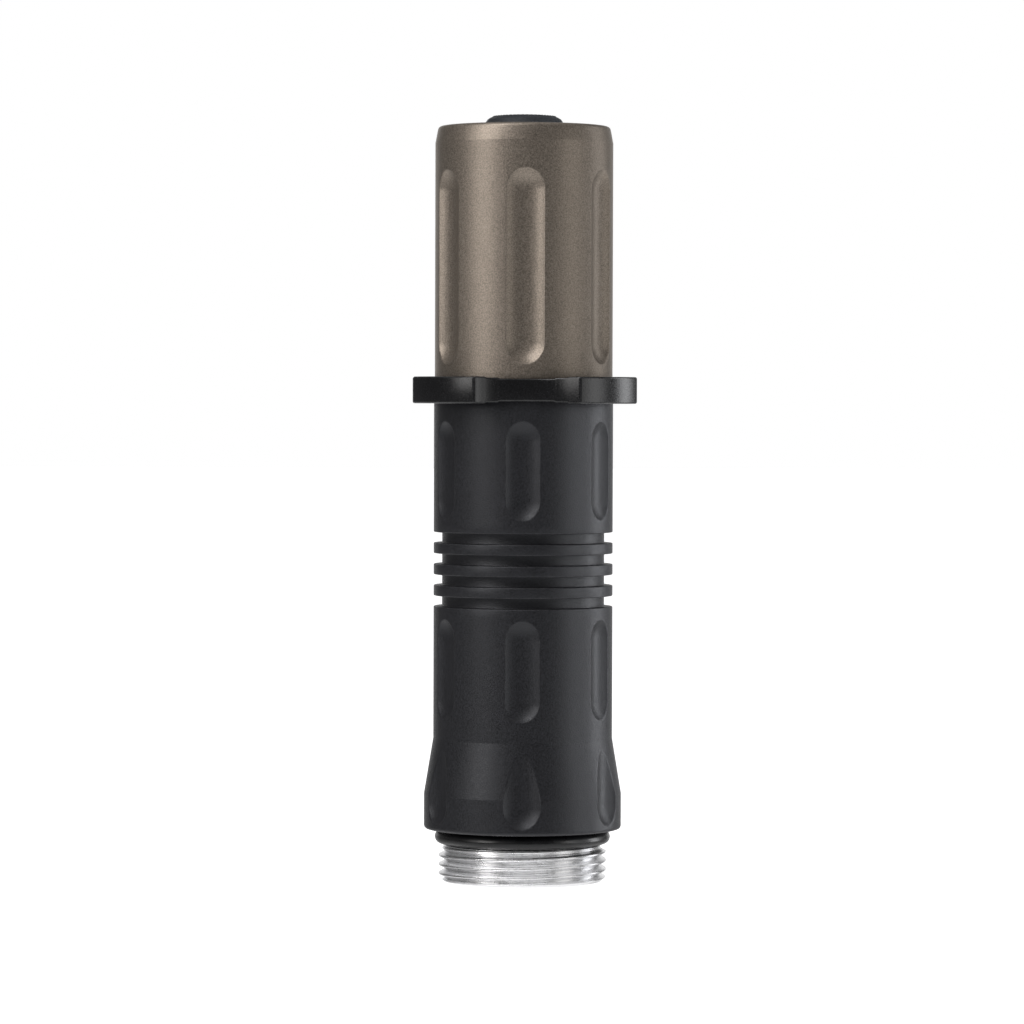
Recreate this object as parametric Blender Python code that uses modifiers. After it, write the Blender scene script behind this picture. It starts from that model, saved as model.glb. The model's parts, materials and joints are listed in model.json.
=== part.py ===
"""Tactical flashlight body: a battery tube with its tailcap, click switch, anti-roll ring and cell.

Metres, +Z up. The light stands on the end of its head thread, tail up. The origin is the middle of
that end face, and every turned part is centred on the Z axis.
"""

import math

import bmesh
import bpy
from mathutils import Matrix, Vector

# Fits and resolution
SEAT_GAP = 0.0003  # between two pieces that touch
SLIDE_GAP = 0.0002  # between two pieces that turn or slide on each other
ROUND_STEPS = 36  # sides of a turned part
INNER_STEPS = 24  # sides of a turned part inside the light
PIN_STEPS = 12
SHARP_ANGLE = math.radians(24)

# 18650 cell
CELL_RADIUS = 0.00925
CELL_LENGTH = 0.0668
CELL_SETBACK = 0.0010  # from the tube's lower end to the cell's positive face
WRAP_WALL = 0.00012
CAN_WALL = 0.00025
CAN_FOLD = 0.0004  # thickness of the can's crimped lip
NUB_RADIUS = 0.0030
NUB_HEIGHT = 0.0021

# Battery tube, outward from the bore
BORE_GAP = 0.00015
NECK_WALL = 0.0006
TAIL_THREAD_DEPTH = 0.00055
COLLAR_STEP = 0.00075  # from the tail thread's crest out to the collar that centres the ring
SHOULDER_WIDTH = 0.0011  # from the ring's bore out to the tube's outside
FLARE_STEP = 0.0013
FLARE_EDGE = 0.0004
SHOULDER_RELIEF = 0.0002  # how far the shoulder is cut back inside, over the O-ring
GROOVE_DEPTH = 0.0012
HEAD_GROOVE_WALL = 0.00085
HEAD_WALL = 0.0017
HEAD_THREAD_DEPTH = 0.0008
HEAD_CHAMFER = 0.0005
RIDGE_SUNK = 0.00051  # how far a thread's foot lies under the surface that it stands on
HEAD_PHASE = 0.0004  # height where the head thread's crest crosses the XZ plane

# Battery tube, upward from the head thread's end
PITCH = 0.00127  # both threads: 20 turns an inch, right hand
HEAD_LAND_HEIGHT = 0.0051
ORING_GROOVE_HEIGHT = 0.0023
FLARE_HEIGHT = 0.0050
CONE_HEIGHT = 0.00785
LOWER_GRIP_HEIGHT = 0.01873
GROOVE_COUNT = 4
GROOVE_WIDTH = 0.0015
FIN_WIDTH = 0.0015
SEAT_ABOVE_CELL = 0.00025  # the ring seat above the cell, which sets the tube's length
TAIL_GROOVE_HEIGHT = 0.0024
TAIL_LAND = 0.0006
TAIL_THREAD_HEIGHT = 0.0076
NECK_LEAD = 0.0006

# O-rings
HEAD_ORING_SECTION = 0.0019
TAIL_ORING_SECTION = 0.0010

# Flutes: each is the path of a ball cutter that runs along the light
FLUTE_COUNT = 6
BALL_RADIUS = 0.0045
LOWER_FLUTE_DEPTH = 0.00093
UPPER_FLUTE_DEPTH = 0.00093
CAP_FLUTE_DEPTH = 0.0012
FLARE_FLUTE_DEPTH = 0.00108
LOWER_FLUTE_MARGINS = (0.0029, 0.0017)  # below and above the flute
UPPER_FLUTE_MARGINS = (0.0018, 0.0029)
CAP_FLUTE_MARGINS = (0.0021, 0.0064)
FLARE_FLUTE_MARGIN = 0.0009
SLOT_STEPS = 24

# Anti-roll ring
RING_WIDTH = 0.0058  # from its bore to the tip of a lobe
HUB_THICKNESS = 0.00245
TERRACE_OFFSETS = (0.0015, 0.0027, 0.0040)  # from the bore to each step
TERRACE_RISE = 0.00022
LOBE_COUNT = 4
SCALLOP_DEPTH = 0.0039
SCALLOP_RADIUS = 0.0132

# Tailcap
CAP_HEIGHT = 0.0358
CAP_FLUTE_WALL = 0.00065  # between a flute's floor and the thread inside
CAP_CHAMFER = (0.00045, 0.0024)  # radial and axial size of the chamfer at the tail end
CAP_EDGE = 0.0005
CAP_END_WALL = 0.0010
CHAMBER_RADIUS = 0.0096
THREAD_CREST_WIDTH = 0.0001
RIDGE_START = -0.35  # a ridge's height at its ends, as a share of full height, so it starts sunk
RIDGE_FADE = 0.6  # share of full height that it gains at each step

# Switch stack, downward from the cap's end wall and upward from the retaining ring
BOOT_RADIUS = 0.00585
BOOT_TOP_RADIUS = 0.00480
BOOT_RISE = 0.00165  # how far the boot stands out of the cap
BOOT_EDGE = 0.0006
BOOT_WALL = 0.00145
FLANGE_THICKNESS = 0.0016
STACK_RADIUS = 0.0092
WASHER_THICKNESS = 0.0015
WASHER_BORE = 0.0048
COVER_WALL = 0.0012
COVER_CAVITY = 0.0074
STEM_RADIUS = 0.0029
PLUNGER_FLANGE_RADIUS = 0.0070
PLUNGER_FLANGE_THICKNESS = 0.0010
PLUNGER_TAIL_RADIUS = 0.0020
BUTTON_TRAVEL = 0.0020
BASE_RADIUS = 0.0088
BASE_CUP_RADIUS = 0.0059
BASE_HEIGHT = 0.0051
BASE_FLOOR = 0.0013
ROTOR_RADIUS = 0.0034
ROTOR_HEIGHT = 0.0030
ROTOR_TEETH = 4
BRIDGE_SIZE = (0.0108, 0.0024, 0.0004)
TERMINAL_OFFSET = 0.0046
TERMINAL_HEAD = (0.0010, 0.0006)  # radius and thickness
TERMINAL_PIN_RADIUS = 0.0006
BOARD_RADIUS = 0.0093
BOARD_THICKNESS = 0.0013
RETAINER_RADIUS = 0.0099
RETAINER_BORE = 0.0066
RETAINER_HEIGHT = 0.0023
NOTCH_SIZE = (0.0016, 0.0010)  # width and depth of a spanner notch

# Springs
TAIL_SPRING_RADII = (0.0032, 0.0052)  # middle of the wire, at the cell and at the board
TAIL_SPRING_WIRE = 0.0009
TAIL_SPRING_TURNS = 6
PLUNGER_SPRING_RADIUS = 0.0064
PLUNGER_SPRING_WIRE = 0.0006
PLUNGER_SPRING_TURNS = 3.5

# Radii that follow from the sizes above
BORE = CELL_RADIUS + BORE_GAP
TAIL_ROOT = BORE + NECK_WALL
TAIL_CREST = TAIL_ROOT + TAIL_THREAD_DEPTH
COLLAR = TAIL_CREST + COLLAR_STEP
RING_BORE = COLLAR + SEAT_GAP
BODY = RING_BORE + SHOULDER_WIDTH
FLARE = BODY + FLARE_STEP
HEAD_ROOT = BORE + HEAD_WALL
HEAD_CREST = HEAD_ROOT + HEAD_THREAD_DEPTH
CAP_ROOT = TAIL_CREST + SLIDE_GAP
CAP_CREST = TAIL_ROOT + SLIDE_GAP
CAP = CAP_ROOT + CAP_FLUTE_WALL + CAP_FLUTE_DEPTH
HEAD_GROOVE = BORE + HEAD_GROOVE_WALL
HEAD_ORING_INNER = HEAD_GROOVE + SEAT_GAP
HEAD_GLAND = HEAD_ORING_INNER + HEAD_ORING_SECTION + SLIDE_GAP
TAIL_ORING_INNER = TAIL_ROOT + SLIDE_GAP / 2
CAP_SEAL = TAIL_ORING_INNER + TAIL_ORING_SECTION + SLIDE_GAP / 2

# Heights that follow from the sizes above
CELL_TOP_Z = CELL_SETBACK + CELL_LENGTH
SHOULDER_Z = HEAD_LAND_HEIGHT + ORING_GROOVE_HEIGHT
GLAND_Z = SHOULDER_Z + SHOULDER_RELIEF
CONE_Z = SHOULDER_Z + FLARE_HEIGHT
LOWER_GRIP_Z = CONE_Z + CONE_HEIGHT
FINS_Z = LOWER_GRIP_Z + LOWER_GRIP_HEIGHT
UPPER_GRIP_Z = FINS_Z + GROOVE_COUNT * GROOVE_WIDTH + (GROOVE_COUNT - 1) * FIN_WIDTH
SEAT_Z = CELL_TOP_Z + SEAT_ABOVE_CELL
CAP_Z = SEAT_Z + HUB_THICKNESS + 2 * SEAT_GAP
TAIL_GROOVE_Z = CAP_Z - 2 * SEAT_GAP
TAIL_THREAD_Z = TAIL_GROOVE_Z + TAIL_GROOVE_HEIGHT + TAIL_LAND
CAP_THREAD_Z = TAIL_THREAD_Z + SEAT_GAP
NECK_Z = TAIL_THREAD_Z + TAIL_THREAD_HEIGHT
CAP_STOP_Z = NECK_Z + SEAT_GAP
CAP_TOP_Z = CAP_Z + CAP_HEIGHT
RETAINER_Z = CAP_STOP_Z + SEAT_GAP
BOARD_Z = RETAINER_Z + RETAINER_HEIGHT + SEAT_GAP
BASE_Z = BOARD_Z + BOARD_THICKNESS + SEAT_GAP
COVER_Z = BASE_Z + BASE_HEIGHT + SEAT_GAP
FLANGE_TOP_Z = CAP_TOP_Z - CAP_END_WALL - SEAT_GAP
WASHER_Z = FLANGE_TOP_Z - FLANGE_THICKNESS - SEAT_GAP - WASHER_THICKNESS
COVER_TOP_Z = WASHER_Z - SEAT_GAP
BOOT_TOP_Z = CAP_TOP_Z + BOOT_RISE
PLUNGER_TOP_Z = BOOT_TOP_Z - BOOT_WALL - SEAT_GAP
PLUNGER_FLANGE_Z = COVER_TOP_Z - COVER_WALL - SEAT_GAP - PLUNGER_FLANGE_THICKNESS
TERMINAL_TOP_Z = BASE_Z + BASE_FLOOR + SEAT_GAP + TERMINAL_HEAD[1]
BRIDGE_Z = TERMINAL_TOP_Z + SEAT_GAP + BUTTON_TRAVEL
ROTOR_Z = BRIDGE_Z + BRIDGE_SIZE[2] + SEAT_GAP

PARTS = bpy.data.collections.new("tactical_flashlight")
CUTTERS = bpy.data.collections.new("cutters")


# Building blocks


def clear_scene():
    for obj in list(bpy.data.objects):
        bpy.data.objects.remove(obj, do_unlink=True)
    for collection in (PARTS, CUTTERS):
        bpy.context.scene.collection.children.link(collection)
    CUTTERS.hide_render = True


def material(name, colour, roughness, metallic):
    made = bpy.data.materials.new(name)
    made.use_nodes = True
    shader = made.node_tree.nodes["Principled BSDF"]
    shader.inputs["Base Color"].default_value = (*colour, 1.0)
    shader.inputs["Roughness"].default_value = roughness
    shader.inputs["Metallic"].default_value = metallic
    return made


def joint_empty(name, parent=None):
    """An empty on the light's axis that carries the pieces which move together."""
    empty = bpy.data.objects.new(name, None)
    empty.empty_display_size = 0.01
    empty.parent = parent
    PARTS.objects.link(empty)
    return empty


def add_part(name, data, finish, level=0.0, parent=None):
    part = bpy.data.objects.new(name, data)
    part.location.z = level
    part.parent = parent
    data.materials.append(finish)
    PARTS.objects.link(part)
    return part


def add_cutter(name, data, level=0.0):
    cutter = bpy.data.objects.new(name, data)
    cutter.location.z = level
    cutter.hide_render = True
    cutter.display_type = "WIRE"
    CUTTERS.objects.link(cutter)
    return cutter


def outline(name, points):
    """A profile in the XZ plane: a closed loop, or an open line if it ends on the axis."""
    count = len(points)
    edges = [(i, i + 1) for i in range(count - 1)]
    if points[0][0] > 0:
        edges.append((count - 1, 0))
    mesh = bpy.data.meshes.new(name)
    mesh.from_pydata([(r, 0.0, z) for r, z in points], edges, [])
    return mesh


def add_screw(obj, steps):
    screw = obj.modifiers.new("Turn", "SCREW")
    screw.steps = steps
    screw.render_steps = steps
    screw.use_merge_vertices = True
    screw.merge_threshold = 1e-6


def turned(name, points, finish, level=0.0, parent=None, steps=ROUND_STEPS):
    """A part turned round the Z axis. Its profile runs down the outside, top to bottom."""
    part = add_part(name, outline(name, points), finish, level, parent)
    add_screw(part, steps)
    return part


def inner(name, points, finish, level, parent, steps=INNER_STEPS):
    """A turned part that sits inside the light, where fewer sides are enough."""
    return turned(name, points, finish, level, parent, steps)


def boolean(part, tool, operation="DIFFERENCE"):
    step = part.modifiers.new(tool.name, "BOOLEAN")
    step.operation = operation
    step.object = tool
    step.solver = "EXACT"


def arc(radius, start, end, steps, centre=(0.0, 0.0)):
    """Points on a circle in a profile, from one angle to another, in degrees."""
    points = []
    for i in range(steps + 1):
        angle = math.radians(start + (end - start) * i / steps)
        points.append((centre[0] + radius * math.cos(angle), centre[1] + radius * math.sin(angle)))
    return points


def tube_profile(outer, inner, height):
    return [(outer, height), (outer, 0.0), (inner, 0.0), (inner, height)]


def disc_profile(radius, height):
    return [(0.0, height), (radius, height), (radius, 0.0), (0.0, 0.0)]


def copies_round_axis(bm, count, first_angle=0.0):
    """Turn what bm holds to the first angle, then repeat it evenly round the Z axis."""
    bmesh.ops.rotate(bm, verts=bm.verts, matrix=Matrix.Rotation(first_angle, 3, "Z"))
    original = bm.verts[:] + bm.edges[:] + bm.faces[:]
    for i in range(1, count):
        copy = bmesh.ops.duplicate(bm, geom=original)["geom"]
        verts = [item for item in copy if isinstance(item, bmesh.types.BMVert)]
        bmesh.ops.rotate(bm, verts=verts, matrix=Matrix.Rotation(2 * math.pi * i / count, 3, "Z"))


def mesh_from(bm, name):
    mesh = bpy.data.meshes.new(name)
    bmesh.ops.recalc_face_normals(bm, faces=bm.faces)
    bm.to_mesh(mesh)
    bm.free()
    return mesh


def ball_paths(name, surface, depth, low, high, open_top=False):
    """The room swept by a ball cutter, once for each flute.

    surface is the radius being cut, low and high the flute's two ends on it. An open top lets the
    cutter run out over a surface that falls away from it.
    """
    axis_radius = surface + BALL_RADIUS - depth
    reach = math.sqrt(BALL_RADIUS**2 - (BALL_RADIUS - depth) ** 2)
    upper = high if open_top else high - reach
    points = arc(BALL_RADIUS, 90, 0, SLOT_STEPS // 4, (0.0, upper))
    points += arc(BALL_RADIUS, 0, -90, SLOT_STEPS // 4, (0.0, low + reach))
    bm = bmesh.new()
    verts = [bm.verts.new((axis_radius + r, 0.0, z)) for r, z in points]
    edges = [bm.edges.new(pair) for pair in zip(verts, verts[1:])]
    centre = (axis_radius, 0.0, 0.0)
    bmesh.ops.spin(bm, geom=verts + edges, cent=centre, axis=(0, 0, 1), dvec=(0, 0, 0),
                   angle=2 * math.pi, steps=SLOT_STEPS, use_merge=True)
    bmesh.ops.remove_doubles(bm, verts=bm.verts, dist=1e-6)
    copies_round_axis(bm, FLUTE_COUNT, -math.pi / 2)
    return add_cutter(name, mesh_from(bm, name))


def thread_ridge(name, root, crest, low, high, phase=0.0):
    """One right-hand helical ridge, standing out or in from a cylinder, that fades in and out.

    low and high are the heights of its two ends, and phase its height where it crosses the XZ plane.
    """
    sunk = math.copysign(RIDGE_SUNK, root - crest)
    foot = THREAD_CREST_WIDTH + 2 * abs(crest - root) * math.tan(math.radians(30))
    step_angle = 2 * math.pi / ROUND_STEPS
    first = math.ceil((low - phase) / PITCH * ROUND_STEPS)
    last = math.floor((high - phase) / PITCH * ROUND_STEPS)
    bm = bmesh.new()
    rings = []
    for i in range(first, last + 1):
        height = min(1.0, RIDGE_START + RIDGE_FADE * min(i - first, last - i))
        tip = root + (crest - root) * height
        z = phase + PITCH * i / ROUND_STEPS
        spin = Matrix.Rotation(i * step_angle, 3, "Z")
        half_tip = THREAD_CREST_WIDTH / 2
        section = ((root + sunk, -foot / 2), (tip, -half_tip), (tip, half_tip), (root + sunk, foot / 2))
        rings.append([bm.verts.new(spin @ Vector((r, 0.0, z + dz))) for r, dz in section])
    for lower, upper in zip(rings, rings[1:]):
        for j in range(4):
            bm.faces.new((lower[j], lower[(j + 1) % 4], upper[(j + 1) % 4], upper[j]))
    bm.faces.new(rings[0])
    bm.faces.new(rings[-1])
    return add_cutter(name, mesh_from(bm, name))


def coil_spring(name, finish, radii, low, high, turns, wire, parent):
    """A round-wire spring between two heights. radii are the wire's middle at each end."""
    points_a_turn = 12
    count = int(turns * points_a_turn)
    curve = bpy.data.curves.new(name, "CURVE")
    curve.dimensions = "3D"
    curve.bevel_depth = wire / 2
    curve.bevel_resolution = 1
    curve.use_fill_caps = True
    spline = curve.splines.new("POLY")
    spline.points.add(count)
    for i, point in enumerate(spline.points):
        share = i / count
        radius = radii[0] + (radii[1] - radii[0]) * share
        angle = 2 * math.pi * turns * share
        z = low + wire / 2 + (high - low - wire) * share
        point.co = (radius * math.cos(angle), radius * math.sin(angle), z, 1.0)
    return add_part(name, curve, finish, parent=parent)


def box_mesh(name, size, centres):
    """One mesh with a box of this size at each centre."""
    bm = bmesh.new()
    for centre in centres:
        place = Matrix.Translation(centre) @ Matrix.Diagonal((*size, 1.0))
        bmesh.ops.create_cube(bm, size=1.0, matrix=place)
    return mesh_from(bm, name)


def apply_and_smooth(part):
    """Replace a mesh part's modifiers by their result, shaded smooth except at its corners."""
    bpy.context.view_layer.update()
    evaluated = part.evaluated_get(bpy.context.evaluated_depsgraph_get())
    mesh = bpy.data.meshes.new_from_object(evaluated)
    part.modifiers.clear()
    part.data = mesh
    mesh.shade_smooth()
    mesh.set_sharp_from_angle(angle=SHARP_ANGLE)


# Tube, seals and ring


def tube_outline():
    """The tube's outside from the neck down to the head thread, then the bore."""
    points = [(TAIL_ROOT, NECK_Z), (TAIL_ROOT, TAIL_THREAD_Z)]
    points += [(TAIL_CREST, TAIL_THREAD_Z), (TAIL_CREST, TAIL_THREAD_Z - TAIL_LAND)]
    points += [(TAIL_ROOT, TAIL_THREAD_Z - TAIL_LAND), (TAIL_ROOT, TAIL_GROOVE_Z)]
    points += [(COLLAR, TAIL_GROOVE_Z), (COLLAR, SEAT_Z), (BODY, SEAT_Z)]
    for i in range(GROOVE_COUNT):
        groove = UPPER_GRIP_Z - i * (GROOVE_WIDTH + FIN_WIDTH)
        points += [(BODY, groove), (BODY - GROOVE_DEPTH, groove)]
        points += [(BODY - GROOVE_DEPTH, groove - GROOVE_WIDTH), (BODY, groove - GROOVE_WIDTH)]
    points += [(BODY, LOWER_GRIP_Z), (FLARE, CONE_Z), (FLARE, SHOULDER_Z + FLARE_EDGE)]
    points += [(FLARE - FLARE_EDGE, SHOULDER_Z), (HEAD_GLAND, SHOULDER_Z)]
    points += [(HEAD_GLAND, GLAND_Z), (HEAD_GROOVE, GLAND_Z)]
    points += [(HEAD_GROOVE, HEAD_LAND_HEIGHT), (HEAD_ROOT, HEAD_LAND_HEIGHT)]
    points += [(HEAD_ROOT, HEAD_CHAMFER), (HEAD_ROOT - HEAD_CHAMFER, 0.0)]
    points += [(BORE, 0.0), (BORE, NECK_Z)]
    return points


def make_tube(finish):
    tube = turned("battery_tube", tube_outline(), finish)
    head_low = HEAD_CHAMFER + PITCH / 4
    head_high = HEAD_LAND_HEIGHT - PITCH / 2
    tail_low = TAIL_THREAD_Z + PITCH / 2
    tail_high = NECK_Z - NECK_LEAD
    head_ridge = thread_ridge("head_thread", HEAD_ROOT, HEAD_CREST, head_low, head_high, HEAD_PHASE)
    tail_ridge = thread_ridge("tail_thread", TAIL_ROOT, TAIL_CREST, tail_low, tail_high)
    boolean(tube, head_ridge, "UNION")
    boolean(tube, tail_ridge, "UNION")
    below, above = LOWER_FLUTE_MARGINS
    boolean(tube, ball_paths("lower_flutes", BODY, LOWER_FLUTE_DEPTH, LOWER_GRIP_Z + below, FINS_Z - above))
    below, above = UPPER_FLUTE_MARGINS
    boolean(tube, ball_paths("upper_flutes", BODY, UPPER_FLUTE_DEPTH, UPPER_GRIP_Z + below, SEAT_Z - above))
    low = SHOULDER_Z + FLARE_FLUTE_MARGIN
    boolean(tube, ball_paths("flare_flutes", FLARE, FLARE_FLUTE_DEPTH, low, LOWER_GRIP_Z, open_top=True))


def oring_profile(section, inner_radius):
    """A round seal section, wound from its top down the outside."""
    return arc(section / 2, 90, -270, 8, (inner_radius + section / 2, 0.0))[:-1]


def make_seals(finish):
    head_level = SHOULDER_Z - ORING_GROOVE_HEIGHT / 2
    tail_level = TAIL_GROOVE_Z + TAIL_GROOVE_HEIGHT / 2
    turned("head_oring", oring_profile(HEAD_ORING_SECTION, HEAD_ORING_INNER), finish, head_level)
    turned("tail_oring", oring_profile(TAIL_ORING_SECTION, TAIL_ORING_INNER), finish, tail_level)


def ring_profile():
    """Half the ring's section, from the middle plane: each face steps outward in terraces."""
    steps = [(RING_BORE, HUB_THICKNESS / 2)]
    rise = HUB_THICKNESS / 2
    for offset in TERRACE_OFFSETS:
        steps.append((RING_BORE + offset, rise))
        rise += TERRACE_RISE
        steps.append((RING_BORE + offset, rise))
    steps.append((RING_BORE + RING_WIDTH, rise))
    return steps + [(r, -z) for r, z in reversed(steps)]


def make_ring(finish, parent):
    level = SEAT_Z + SEAT_GAP + HUB_THICKNESS / 2
    ring = turned("anti_roll_ring", ring_profile(), finish, level, parent)
    bm = bmesh.new()
    place = Matrix.Translation((RING_BORE + RING_WIDTH - SCALLOP_DEPTH + SCALLOP_RADIUS, 0.0, level))
    bmesh.ops.create_cone(bm, cap_ends=True, segments=4 * ROUND_STEPS // 3, radius1=SCALLOP_RADIUS,
                          radius2=SCALLOP_RADIUS, depth=4 * HUB_THICKNESS, matrix=place)
    copies_round_axis(bm, LOBE_COUNT)
    boolean(ring, add_cutter("scallops", mesh_from(bm, "scallops")))


# Tailcap and its switch stack


def cap_outline():
    """The cap's outside from the opening for the boot down to its lower edge, then its inside."""
    radial, axial = CAP_CHAMFER
    top_radius = CAP - radial
    points = [(BOOT_RADIUS + SEAT_GAP, CAP_TOP_Z), (top_radius - CAP_EDGE, CAP_TOP_Z)]
    points += [(top_radius, CAP_TOP_Z - CAP_EDGE), (CAP, CAP_TOP_Z - axial), (CAP, CAP_Z)]
    points += [(CAP_SEAL, CAP_Z), (CAP_SEAL, CAP_THREAD_Z), (CAP_ROOT, CAP_THREAD_Z)]
    points += [(CAP_ROOT, CAP_STOP_Z), (RETAINER_RADIUS + SEAT_GAP, CAP_STOP_Z)]
    shelf = BOARD_Z - SEAT_GAP / 2
    points += [(RETAINER_RADIUS + SEAT_GAP, shelf), (CHAMBER_RADIUS, shelf)]
    points += [(CHAMBER_RADIUS, CAP_TOP_Z - CAP_END_WALL), (BOOT_RADIUS + SEAT_GAP, CAP_TOP_Z - CAP_END_WALL)]
    return points


def make_tailcap(finish, parent):
    cap = turned("tailcap_shell", cap_outline(), finish, parent=parent)
    low = CAP_THREAD_Z + PITCH / 2
    high = CAP_STOP_Z - PITCH / 2
    boolean(cap, thread_ridge("cap_thread", CAP_ROOT, CAP_CREST, low, high, PITCH / 2), "UNION")
    below, above = CAP_FLUTE_MARGINS
    boolean(cap, ball_paths("cap_flutes", CAP, CAP_FLUTE_DEPTH, CAP_Z + below, CAP_TOP_Z - above))


def make_boot(finish, parent):
    base = FLANGE_TOP_Z - FLANGE_THICKNESS
    top = BOOT_TOP_Z - base
    flange = FLANGE_THICKNESS
    corner = (BOOT_TOP_RADIUS - BOOT_EDGE, top - BOOT_EDGE)
    points = [(0.0, top)] + arc(BOOT_EDGE, 90, 0, 3, corner)
    points += [(BOOT_RADIUS, top - BOOT_RISE), (BOOT_RADIUS, flange), (STACK_RADIUS, flange)]
    points += [(STACK_RADIUS, 0.0), (WASHER_BORE, 0.0), (WASHER_BORE, flange)]
    points += [(BOOT_TOP_RADIUS - BOOT_WALL, top - BOOT_WALL), (0.0, top - BOOT_WALL)]
    inner("switch_boot", points, finish, base, parent)


def make_housing(plastic, parent):
    cover_height = COVER_TOP_Z - COVER_Z
    washer = tube_profile(STACK_RADIUS, WASHER_BORE, WASHER_THICKNESS)
    inner("boot_washer", washer, plastic, WASHER_Z, parent)
    cover = [(STEM_RADIUS + SEAT_GAP, cover_height), (STACK_RADIUS, cover_height), (STACK_RADIUS, 0.0)]
    cover += [(COVER_CAVITY, 0.0), (COVER_CAVITY, cover_height - COVER_WALL)]
    cover += [(STEM_RADIUS + SEAT_GAP, cover_height - COVER_WALL)]
    inner("switch_cover", cover, plastic, COVER_Z, parent)
    base = inner("switch_base", base_profile(), plastic, BASE_Z, parent)
    boolean(base, pin_holes("base_holes", BASE_Z))


def base_profile():
    """The base is a cup, turned from the axis outward over its floor and rim."""
    return [(0.0, BASE_FLOOR), (BASE_CUP_RADIUS, BASE_FLOOR), (BASE_CUP_RADIUS, BASE_HEIGHT),
            (BASE_RADIUS, BASE_HEIGHT), (BASE_RADIUS, 0.0), (0.0, 0.0)]


def pin_holes(name, level):
    """Two through holes for the terminals' pins."""
    radius = TERMINAL_PIN_RADIUS + SEAT_GAP
    bm = bmesh.new()
    for side in (-1, 1):
        place = Matrix.Translation((side * TERMINAL_OFFSET, 0.0, level))
        bmesh.ops.create_cone(bm, cap_ends=True, segments=PIN_STEPS, radius1=radius,
                              radius2=radius, depth=2 * BASE_HEIGHT, matrix=place)
    return add_cutter(name, mesh_from(bm, name))


def make_board(finish, parent):
    board = inner("switch_board", disc_profile(BOARD_RADIUS, BOARD_THICKNESS), finish, BOARD_Z, parent)
    boolean(board, pin_holes("board_holes", BOARD_Z))


def make_terminals(finish, parent):
    head_radius, head_thickness = TERMINAL_HEAD
    foot = BOARD_Z + SEAT_GAP
    height = TERMINAL_TOP_Z - foot
    under_head = height - head_thickness
    points = [(0.0, height), (head_radius, height), (head_radius, under_head)]
    points += [(TERMINAL_PIN_RADIUS, under_head), (TERMINAL_PIN_RADIUS, 0.0), (0.0, 0.0)]
    for letter, side in (("a", -1), ("b", 1)):
        pin = inner(f"switch_terminal_{letter}", points, finish, foot, parent, PIN_STEPS)
        pin.location.x = side * TERMINAL_OFFSET


def make_plunger(finish, parent):
    tail = ROTOR_Z + ROTOR_HEIGHT + SEAT_GAP
    flange = PLUNGER_FLANGE_Z - tail
    points = [(0.0, PLUNGER_TOP_Z - tail), (STEM_RADIUS, PLUNGER_TOP_Z - tail)]
    points += [(STEM_RADIUS, flange + PLUNGER_FLANGE_THICKNESS)]
    points += [(PLUNGER_FLANGE_RADIUS, flange + PLUNGER_FLANGE_THICKNESS), (PLUNGER_FLANGE_RADIUS, flange)]
    points += [(PLUNGER_TAIL_RADIUS, flange), (PLUNGER_TAIL_RADIUS, 0.0), (0.0, 0.0)]
    inner("switch_plunger", points, finish, tail, parent)


def make_rotor(plastic, metal, parent):
    """A barrel with notches in its top face, over the bar that bridges the two terminals."""
    rotor = inner("switch_rotor", disc_profile(ROTOR_RADIUS, ROTOR_HEIGHT), plastic, ROTOR_Z, parent)
    width = ROTOR_RADIUS / 2
    bm = bmesh.new()
    size = Matrix.Diagonal((2 * ROTOR_RADIUS, width, ROTOR_HEIGHT / 2, 1.0))
    place = Matrix.Translation((1.4 * ROTOR_RADIUS, 0.0, ROTOR_Z + ROTOR_HEIGHT)) @ size
    bmesh.ops.create_cube(bm, size=1.0, matrix=place)
    copies_round_axis(bm, ROTOR_TEETH)
    boolean(rotor, add_cutter("rotor_notches", mesh_from(bm, "rotor_notches")))
    centre = (0.0, 0.0, BRIDGE_SIZE[2] / 2)
    add_part("contact_bridge", box_mesh("contact_bridge", BRIDGE_SIZE, [centre]), metal, BRIDGE_Z, parent)


def make_retainer(finish, parent):
    ring = tube_profile(RETAINER_RADIUS, RETAINER_BORE, RETAINER_HEIGHT)
    retainer = inner("retaining_ring", ring, finish, RETAINER_Z, parent)
    width, depth = NOTCH_SIZE
    bar = box_mesh("spanner_notches", (3 * RETAINER_RADIUS, width, 2 * depth), [(0.0, 0.0, 0.0)])
    boolean(retainer, add_cutter("spanner_notches", bar, RETAINER_Z))


def make_springs(finish, cap, button):
    coil_spring("tail_spring", finish, TAIL_SPRING_RADII, CELL_TOP_Z + SEAT_GAP, BOARD_Z - SEAT_GAP,
                TAIL_SPRING_TURNS, TAIL_SPRING_WIRE, cap)
    radii = (PLUNGER_SPRING_RADIUS, PLUNGER_SPRING_RADIUS)
    coil_spring("plunger_spring", finish, radii, COVER_Z, PLUNGER_FLANGE_Z - SEAT_GAP,
                PLUNGER_SPRING_TURNS, PLUNGER_SPRING_WIRE, button)


# Cell


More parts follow.
